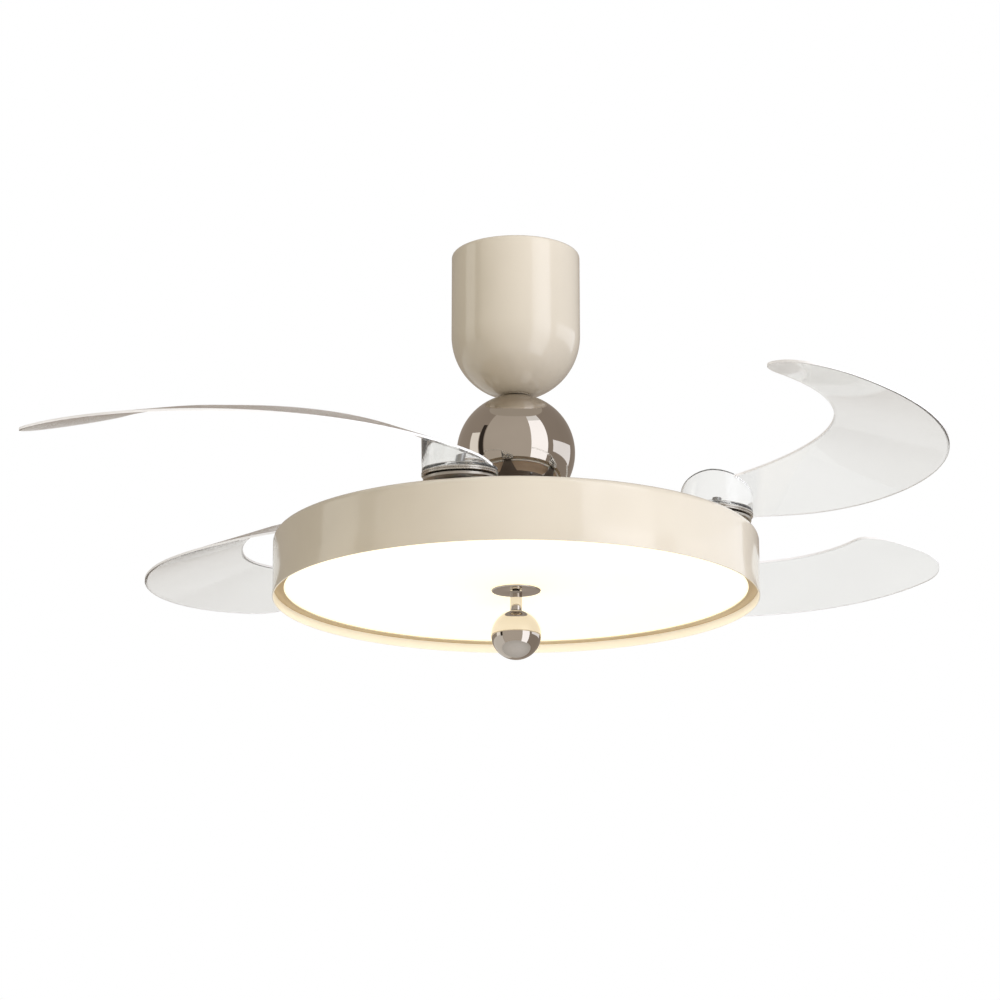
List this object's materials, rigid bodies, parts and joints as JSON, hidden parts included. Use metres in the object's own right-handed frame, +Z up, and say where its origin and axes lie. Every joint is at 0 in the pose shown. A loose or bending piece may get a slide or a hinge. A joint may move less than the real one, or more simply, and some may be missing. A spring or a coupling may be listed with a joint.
{
  "type": "retractable blade ceiling fan",
  "caption": "Ceiling fan with a domed canopy, a chrome ball, a round lit drum lamp and clear sickle blades that fold in over the drum.",
  "frame": {"origin": "middle of the ceiling bracket's top face, where the fan meets the ceiling", "axes": "+Z up out of the ceiling face along the fan's axis; +X to the right and +Y away from the viewer of the picture"},
  "size_m": [0.9486, 0.9486, 0.4366],
  "materials": {
    "enamel": "glossy warm cream enamel",
    "chrome": "polished warm chrome",
    "clear_plastic": "clear moulded plastic",
    "zinc_steel": "zinc plate",
    "dark_metal": "satin dark bronze",
    "cast_metal": "die-cast grey",
    "nylon": "natural nylon",
    "white_plastic": "white",
    "opal": "opal acrylic, lit",
    "copper": "enamelled copper wire"
  },
  "bodies": {
    "frame": {"ceiling_bracket": "zinc_steel", "hanger_ball": "nylon", "hanger_pin": "zinc_steel", "canopy": "enamel", "canopy_grommet": "nylon", "receiver_box": "white_plastic", "terminal_block": "nylon", "down_rod": "zinc_steel", "rod_coupler": "cast_metal", "coupler_bolt_upper": "zinc_steel", "coupler_bolt_lower": "zinc_steel", "ball_cover": "chrome", "ball_seat": "chrome", "motor_shaft": "zinc_steel", "upper_bearing": "zinc_steel", "lower_bearing": "zinc_steel", "stator_hub": "cast_metal", "stator_core": "dark_metal", "stator_winding": "copper", "lamp_housing": "enamel", "lamp_tray": "white_plastic", "shaft_nut": "zinc_steel", "led_board": "white_plastic", "led_driver": "white_plastic", "diffuser": "opal", "finial_plate": "chrome", "finial_stem": "chrome", "finial_ball": "chrome"},
    "rotor": {"rotor_cover": "dark_metal", "rotor_base": "cast_metal", "magnet_ring": "dark_metal", "rotor_screw_1": "zinc_steel", "rotor_screw_2": "zinc_steel", "rotor_screw_3": "zinc_steel", "rotor_screw_4": "zinc_steel", "blade_carrier": "cast_metal", "pivot_pin_1": "zinc_steel", "pivot_pin_2": "zinc_steel", "pivot_pin_3": "zinc_steel", "pivot_pin_4": "zinc_steel", "return_spring_1": "zinc_steel", "return_spring_2": "zinc_steel", "return_spring_3": "zinc_steel", "return_spring_4": "zinc_steel"},
    "sync": {"sync_ring": "nylon"},
    "blade_unit_1": {"blade_1": "clear_plastic", "pivot_disc_1": "cast_metal", "blade_gear_1": "nylon"},
    "blade_unit_2": {"blade_2": "clear_plastic", "pivot_disc_2": "cast_metal", "blade_gear_2": "nylon"},
    "blade_unit_3": {"blade_3": "clear_plastic", "pivot_disc_3": "cast_metal", "blade_gear_3": "nylon"},
    "blade_unit_4": {"blade_4": "clear_plastic", "pivot_disc_4": "cast_metal", "blade_gear_4": "nylon"}
  },
  "joints": [
    {"name": "rotor_spin", "type": "hinge", "parent": "frame", "child": "rotor", "pos_m": [0, 0, -0.3], "axis": [0, 0, 1], "continuous": true},
    {"name": "blade_fold_1", "type": "hinge", "parent": "rotor", "child": "blade_unit_1", "pos_m": [0.20317, -0.05558, -0.2995], "axis": [-0.0589, 0.0161, -0.9981], "range_deg": [0, 95]},
    {"name": "blade_fold_2", "type": "hinge", "parent": "rotor", "child": "blade_unit_2", "pos_m": [-0.05558, -0.20317, -0.2995], "axis": [0.0161, 0.0589, -0.9981], "range_deg": [0, 95]},
    {"name": "blade_fold_3", "type": "hinge", "parent": "rotor", "child": "blade_unit_3", "pos_m": [-0.20317, 0.05558, -0.2995], "axis": [0.0589, -0.0161, -0.9981], "range_deg": [0, 95]},
    {"name": "blade_fold_4", "type": "hinge", "parent": "rotor", "child": "blade_unit_4", "pos_m": [0.05558, 0.20317, -0.2995], "axis": [-0.0161, -0.0589, -0.9981], "range_deg": [0, 95]},
    {"name": "sync_turn", "type": "hinge", "parent": "rotor", "child": "sync", "pos_m": [0, 0, -0.3092], "axis": [0, 0, 1], "range_deg": [0, 12.26]}
  ],
  "couplings": [
    {"joint": "blade_fold_2", "follows": "blade_fold_1", "ratio": 1},
    {"joint": "blade_fold_3", "follows": "blade_fold_1", "ratio": 1},
    {"joint": "blade_fold_4", "follows": "blade_fold_1", "ratio": 1},
    {"joint": "sync_turn", "follows": "blade_fold_1", "ratio": 0.12903}
  ]
}
